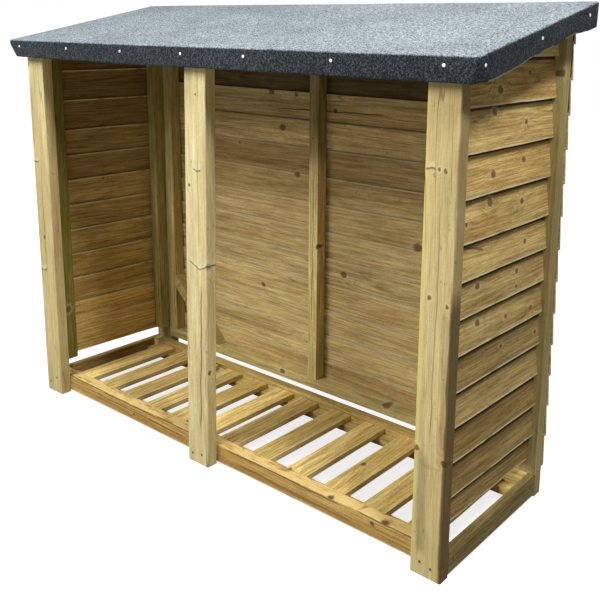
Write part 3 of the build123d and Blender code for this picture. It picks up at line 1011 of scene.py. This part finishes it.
class LOGSTORE_OT_side_walls(bpy.types.Operator):
    """Make the lapped boards of both side walls"""

    bl_idname = "logstore.side_walls"
    bl_label = "Side walls"

    def execute(self, context):
        def shape(point, row, low, high):
            foot = wavy_foot(point.y, point.z - low.z, row, 0.14, 0.02, 40)
            point.z += ((low.y + high.y) / 2 - point.y) * (0.020 - 0.0027 * row)
            point.z += foot
            return point

        draw = random.Random(context.scene.log_store_timber.seed + 1)
        for side in ("left", "right"):
            name, node_name = side + "_wall_boards", side + "_cladding"
            low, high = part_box(node_name)
            tones = [draw.uniform(-0.30, 0.30) for _ in range(20)]
            if side == "left":
                outward, marks = TO_LEFT, ()
                # painted shade: inner faces darker than the outer ones, and darker towards the top under
                # the roof
                indoors = [tone - 1.2 - 0.19 * (row - 7) for row, tone in enumerate(tones)]
            else:
                outward, indoors = TO_RIGHT, tones
                # painted shade: the outer boards darker towards the bottom
                tones = [tone + max(-1.0, min(0.0, 0.18 * (row - 9))) for row, tone in enumerate(tones)]
                marks = tuple(Knot((high.x - 0.004, y, z), width) for y, z, width in (
                    (-0.080, 0.977, 0.0208), (0.093, 0.956, 0.0160), (-0.202, 0.939, 0.0112),
                    (0.121, 0.838, 0.0144), (0.087, 0.759, 0.0144), (0.080, 0.717, 0.0112),
                    (-0.127, 0.765, 0.0176), (-0.117, 0.663, 0.0176), (0.035, 0.642, 0.0128),
                    (0.180, 0.629, 0.0144), (0.225, 0.542, 0.0128), (0.021, 0.559, 0.0128),
                    (0.097, 1.299, 0.0128), (-0.068, 1.262, 0.0208), (0.090, 1.171, 0.0144),
                    (-0.078, 1.207, 0.0176), (0.091, 1.070, 0.0160), (-0.077, 1.050, 0.0192),
                )) + (Split((high.x, -0.215, 0.888), (high.x, -0.100, 0.856), 0.005, 0.6),)
            boarded_piece(name, node_name, "side_board", 20.0 + len(name), ALONG_Y, 0.02,
                          shape, tones, marks, indoors, outward)
        return {"FINISHED"}


class LOGSTORE_OT_back_wall(bpy.types.Operator):
    """Make the lapped boards of the back wall"""

    bl_idname = "logstore.back_wall"
    bl_label = "Back wall"

    def execute(self, context):
        def shape(point, row, low, high):
            point.z += wavy_foot(point.x, point.z - low.z, row, 0.22, 0.03, 60)
            point.z += wave(point.x, row + 90, 0.9, 0.002)
            return point

        draw = random.Random(context.scene.log_store_timber.seed + 2)
        tones = [draw.uniform(-0.22, 0.22) for _ in range(20)]
        # inner faces: painted shade, darker towards the top under the roof; row 9 is a pale board; the top
        # three rows are near black, partly a dark board and partly painted shade
        indoors = [tone - 0.07 * row for row, tone in enumerate(tones)]
        indoors[6:14] = [-0.30, -0.50, -0.65, 0.45, -0.15, -2.3, -2.4, -2.4]
        marks = on_face(
            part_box("back_cladding")[0].y,
            knots=((-0.194, 1.049, 0.024), (-0.124, 1.173, 0.014), (0.057, 1.128, 0.016),
                   (-0.118, 0.880, 0.020), (0.420, 0.700, 0.026), (-0.300, 0.420, 0.018)),
            splits=((-0.25, 1.118, 0.30, 1.128, 0.003, 0.9),
                    (-0.10, 0.560, 0.25, 0.548, 0.012, 0.35)))
        boarded_piece("back_wall_boards", "back_cladding", "back_board", 31.0, ALONG_X,
                      0.03, shape, tones, marks, indoors, TO_BACK)
        return {"FINISHED"}


class LOGSTORE_OT_roof_boards(bpy.types.Operator):
    """Finish the roof deck and the battens under its edges"""

    bl_idname = "logstore.roof_boards"
    bl_label = "Roof boards"

    def execute(self, context):
        dress_solids("roof_board", ALONG_X, ("roof_deck", "roof_front_batten"))
        dress_solids("roof_board", ALONG_Y, ("roof_left_batten", "roof_right_batten"))
        return {"FINISHED"}


class RoofSkirt:
    """Shape of the felt: a sloping top and an edge turned down all round."""

    def __init__(self, felt):
        self.radius, self.ripple = felt.fold_radius, felt.ripple
        self.low, self.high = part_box("roof_felt")
        self.length = self.high.y - self.low.y
        front_top = max(v.co.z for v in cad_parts["roof_felt"].data.vertices
                        if v.co.y < self.low.y + 0.0001)
        self.slope = (self.high.z - front_top) / self.length  # rise for each metre back
        self.left, self.right = self.low.x + self.radius, self.high.x - self.radius
        self.front, self.rear = self.low.y + self.radius, self.high.y - self.radius

    def top(self, x, y):
        swell = 0.0012 * noise.noise(Vector((x * 3.0, y * 4.0, 1.5)))
        return self.high.z - self.slope * (self.high.y - y) - 0.0013 + swell

    def drop(self, x, y):
        """Depth of the turned-down edge at a place on the outline."""
        share = (y - self.low.y) / self.length
        ragged = 0.0016 * noise.noise(Vector((x * 55.0, y * 55.0, 3.0)))
        front = FRONT_DROP + 0.0014 * noise.noise(Vector((x * 2.6, 0.0, 8.0)))
        front -= 0.005 * max(0.0, 1.0 - (x - self.low.x) / 0.25)
        if share < 0.002:
            return front + ragged
        if share > 0.998:
            return REAR_DROP + 0.0025 * noise.noise(Vector((x * 2.6, 5.0, 8.0))) + ragged
        depth = (SIDE_DROP + 0.0050 * math.cos(math.tau * share - 0.9)
                 + 0.0050 * noise.noise(Vector((x, y * 9.0, 2.0))))
        return depth + (front - depth) * max(0.0, 1.0 - share / 0.12) + ragged

    def tuck(self, x, y, fall):
        """How far a low point of the skirt is pulled in sideways near a front corner."""
        to_corner = math.hypot(min(x - self.low.x, self.high.x - x), y - self.low.y)
        near = max(0.0, 1.0 - to_corner / PULLED_IN)
        low_down = max(0.0, fall - TURNED_OVER_DECK) / 0.04
        return (0.040 if x < 0 else -0.016) * near * low_down

    def skirt_point(self, x, y, outward, down):
        """Point on the outer face of the turned-down edge, down below the top."""
        radius = self.radius
        edge = (x + outward.x * radius, y + outward.y * radius)
        if down < radius * math.pi / 2:
            angle = down / radius
            out, fall = radius * math.sin(angle), radius * (1 - math.cos(angle))
        else:
            out, fall = radius, down - radius * (math.pi / 2 - 1)
        loose = min(1.0, fall / self.drop(*edge)) ** 2
        out += self.ripple * (noise.noise(Vector((x * 4.0, y * 5.0, 6.0))) - 0.45) * loose
        return Vector((x + outward.x * out + self.tuck(*edge, fall), y + outward.y * out,
                       self.top(x, y) - fall))


class LOGSTORE_OT_felt(bpy.types.Operator):
    """Lay the roofing felt: one sheet, folded down over all four edges"""

    bl_idname = "logstore.felt"
    bl_label = "Roofing felt"

    def execute(self, context):
        felt = context.scene.log_store_felt
        roof = RoofSkirt(felt)
        columns, rows, corner_steps, drop_steps = 96, 34, 5, 9
        points, faces, turned, hem = [], [], [], []

        def add(point, is_turned=0.0, is_hem=0.0):
            points.append(point)
            turned.append(is_turned)
            hem.append(is_hem)
            return len(points) - 1

        grid = []
        for row in range(rows + 1):
            y = roof.front + (roof.rear - roof.front) * row / rows
            across = [roof.left + (roof.right - roof.left) * column / columns
                      for column in range(columns + 1)]
            grid.append([add(Vector((x, y, roof.top(x, y)))) for x in across])
        for near, far in zip(grid, grid[1:]):
            faces.extend([near[column], near[column + 1], far[column + 1], far[column]]
                         for column in range(columns))

        edge = []  # points round the top, with where the skirt faces there, in degrees from +X
        for line, facing in ((grid[0], 270.0), ([line[-1] for line in grid], 0.0),
                             (grid[-1][::-1], 90.0), ([line[0] for line in grid[::-1]], 180.0)):
            edge.extend((index, facing) for index in line)
            edge.extend((line[-1], facing + 90.0 * step / corner_steps) for step in range(1, corner_steps))
        arc = roof.radius * math.pi / 2
        rings = []
        for index, facing in edge:
            outward = Vector((math.cos(math.radians(facing)), math.sin(math.radians(facing)), 0.0))
            start = points[index]
            flat = roof.drop(start.x + outward.x * roof.radius,
                             start.y + outward.y * roof.radius) - roof.radius
            downs = [arc / 3, arc * 2 / 3, arc]
            downs += [arc + flat * step / drop_steps for step in range(1, drop_steps + 1)]
            ring = [index]
            for number, down in enumerate(downs):
                cut = number == len(downs) - 1 and facing < 45.0  # fibre shows only on the right
                ring.append(add(roof.skirt_point(start.x, start.y, outward, down),
                                min(1.0, max(0.0, (number - 0.5) / 1.5)), float(cut)))
            rings.append(ring)
        for ring, after in zip(rings, rings[1:] + rings[:1]):
            for step in range(len(ring) - 1):
                faces.append(list(dict.fromkeys([ring[step], ring[step + 1], after[step + 1],
                                                 after[step]])))

        sheet = add_piece("roof_felt_sheet", points, faces, felt_material(),
                          {"turned_down": turned, "hem": hem}, smooth=True)
        thicken = sheet.modifiers.new("thickness", "SOLIDIFY")
        thicken.thickness = felt.thickness
        thicken.offset = -1.0
        apply_modifiers(sheet)
        take_place(sheet, "roof_felt")
        return {"FINISHED"}


def apply_modifiers(piece):
    """Turn a piece's modifiers into mesh."""
    bpy.context.view_layer.update()
    evaluated = piece.evaluated_get(bpy.context.evaluated_depsgraph_get())
    mesh = bpy.data.meshes.new_from_object(evaluated)
    piece.modifiers.clear()
    old, piece.data = piece.data, mesh
    bpy.data.meshes.remove(old)


class LOGSTORE_OT_nails(bpy.types.Operator):
    """Drive the clout nails in the felt and the nails in the posts and side rails"""

    bl_idname = "logstore.nails"
    bl_label = "Nails"

    def execute(self, context):
        nails = context.scene.log_store_nails
        roof = RoofSkirt(context.scene.log_store_felt)
        clouts = [(x, roof.front, TO_FRONT, 0.026)
                  for x in (-0.906, -0.612, -0.315, -0.024, 0.238, 0.550, 0.881)]
        for y in (-0.287, -0.016, 0.261):
            clouts += [(roof.right, y, TO_RIGHT, 0.029), (roof.left, y, TO_LEFT, 0.029)]
        clouts += [(x, roof.rear, TO_BACK, 0.024) for x in (-0.88, -0.44, 0.0, 0.44, 0.88)]
        places = [(roof.skirt_point(*clout), clout[2]) for clout in clouts]
        nail_heads("felt_clout_nails", places, nails.clout_head, 0.0016,
                   nail_material("zinc_clout", -0.15))

        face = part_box("front_left_post")[0].y
        places = [(Vector((x, face, z)), TO_FRONT) for x, z in (
            (-0.893, 0.036), (-0.849, 0.062), (-0.050, 0.030), (-0.006, 0.036),
            (0.850, 0.039), (0.884, 0.031))]
        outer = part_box("base_right_rail")[1].x
        for y in (-0.225, -0.184, 0.176, 0.222):
            places += [(Vector((outer, y, 0.041)), TO_RIGHT), (Vector((-outer, y, 0.041)), TO_LEFT)]
        nail_heads("frame_nails", places, nails.frame_head, 0.0010,
                   nail_material("dull_nail", 0.95))
        return {"FINISHED"}


class LOGSTORE_OT_stage(bpy.types.Operator):
    """Set up the floor, the lamps, the room light and the camera"""

    bl_idname = "logstore.stage"
    bl_label = "Stage"

    def execute(self, context):
        scene, stage = context.scene, context.scene.log_store_stage
        scene.view_settings.view_transform = "Standard"

        def add_object(name, data):
            thing = bpy.data.objects.new(name, data)
            scene.collection.objects.link(thing)
            return thing

        mesh = bpy.data.meshes.new("floor")
        sides, reach = 64, 14.0
        angles = [math.tau * number / sides for number in range(sides)]
        mesh.from_pydata([(reach * math.cos(angle), reach * math.sin(angle), 0.0)
                          for angle in angles], [], [list(range(sides))])
        floor = add_object("floor", mesh)
        material, graph, shader = new_material("floor_paint")
        position = graph.position()
        cloud = graph.span(graph.noise(position, 3.0, 3.0), 0.2, 0.8, 0.985, 1.0)
        for socket, value in (
                ("Base Color", graph.lit(four(stage.floor_colour), graph.all_three(cloud))),
                ("Roughness", 0.9), ("Specular IOR Level", 0.1)):
            graph.feed(shader.inputs[socket], value)
        away = graph.span(graph.vector("LENGTH", position), 1.3, 3.2, stage.floor_glow, 1.0)
        glow = graph.add("ShaderNodeEmission", {"Color": WHITE, "Strength": away})
        both = graph.add("ShaderNodeAddShader", {0: shader.outputs[0], 1: glow.outputs[0]})
        output = next(n for n in material.node_tree.nodes if n.type == "OUTPUT_MATERIAL")
        graph.feed(output.inputs["Surface"], graph.if_seen(shader, both))
        mesh.materials.append(material)

        scene.world = bpy.data.worlds.new("room")
        scene.world.use_nodes = True
        scene.world.node_tree.nodes.clear()
        graph = Graph(scene.world.node_tree)
        room, white = (graph.add("ShaderNodeBackground", {"Color": WHITE, "Strength": strength})
                       for strength in (stage.room_light, 1.0))
        graph.add("ShaderNodeOutputWorld", {"Surface": graph.if_seen(room, white)})

        middle = (CAD_BOX[0] + CAD_BOX[1]) / 2
        for name, place, size, power in (
            ("key_lamp", Vector((-1.3, -3.7, 3.9)), 3.0, stage.key_power),
            ("top_lamp", Vector((0.2, -0.4, 4.2)), 2.2, stage.top_power),
            ("side_lamp", Vector((2.5, -0.9, 3.9)), 0.6, stage.side_power),
            ("back_lamp", Vector((-1.8, 4.0, 3.0)), 3.0, stage.back_power),
        ):
            light = bpy.data.lights.new(name, "AREA")
            light.shape, light.size, light.energy = "DISK", size, power
            lamp = add_object(name, light)
            lamp.location = place
            lamp.rotation_euler = (middle - place).to_track_quat("-Z", "Y").to_euler()

        camera = bpy.data.cameras.new("camera")
        camera.sensor_width, camera.lens = 36.0, stage.lens
        camera.shift_x, camera.shift_y = stage.shift
        scene.camera = add_object("camera", camera)
        scene.camera.location = stage.camera_place
        scene.camera.rotation_euler = Euler(stage.camera_turn, "XYZ")
        return {"FINISHED"}


OPERATORS = (
    LOGSTORE_OT_stage, LOGSTORE_OT_posts, LOGSTORE_OT_base_frame, LOGSTORE_OT_floor_slats,
    LOGSTORE_OT_wall_frames, LOGSTORE_OT_side_walls, LOGSTORE_OT_back_wall,
    LOGSTORE_OT_roof_boards, LOGSTORE_OT_felt, LOGSTORE_OT_nails,
)
SETTINGS = {
    "log_store_timber": TimberSettings,
    "log_store_felt": FeltSettings,
    "log_store_nails": NailSettings,
    "log_store_stage": StageSettings,
}


class LOGSTORE_PT_panel(bpy.types.Panel):
    """Buttons and settings for the log store"""

    bl_idname = "LOGSTORE_PT_panel"
    bl_label = "Log Store"
    bl_space_type = "VIEW_3D"
    bl_region_type = "UI"
    bl_category = "Log Store"

    def draw(self, context):
        for operator in OPERATORS:
            self.layout.operator(operator.bl_idname)
        for name, settings in SETTINGS.items():
            box = self.layout.box()
            for item in settings.__annotations__:
                box.prop(getattr(context.scene, name), item)


def register():
    for name, settings in SETTINGS.items():
        bpy.utils.register_class(settings)
        setattr(bpy.types.Scene, name, PointerProperty(type=settings))
    for operator in OPERATORS:
        bpy.utils.register_class(operator)
    bpy.utils.register_class(LOGSTORE_PT_panel)


def unregister():
    bpy.utils.unregister_class(LOGSTORE_PT_panel)
    for operator in reversed(OPERATORS):
        bpy.utils.unregister_class(operator)
    for name, settings in SETTINGS.items():
        delattr(bpy.types.Scene, name)
        bpy.utils.unregister_class(settings)


def main():
    register()
    for operator in OPERATORS:
        group, call = operator.bl_idname.split(".")
        getattr(getattr(bpy.ops, group), call)()


if __name__ == "__main__":
    main()
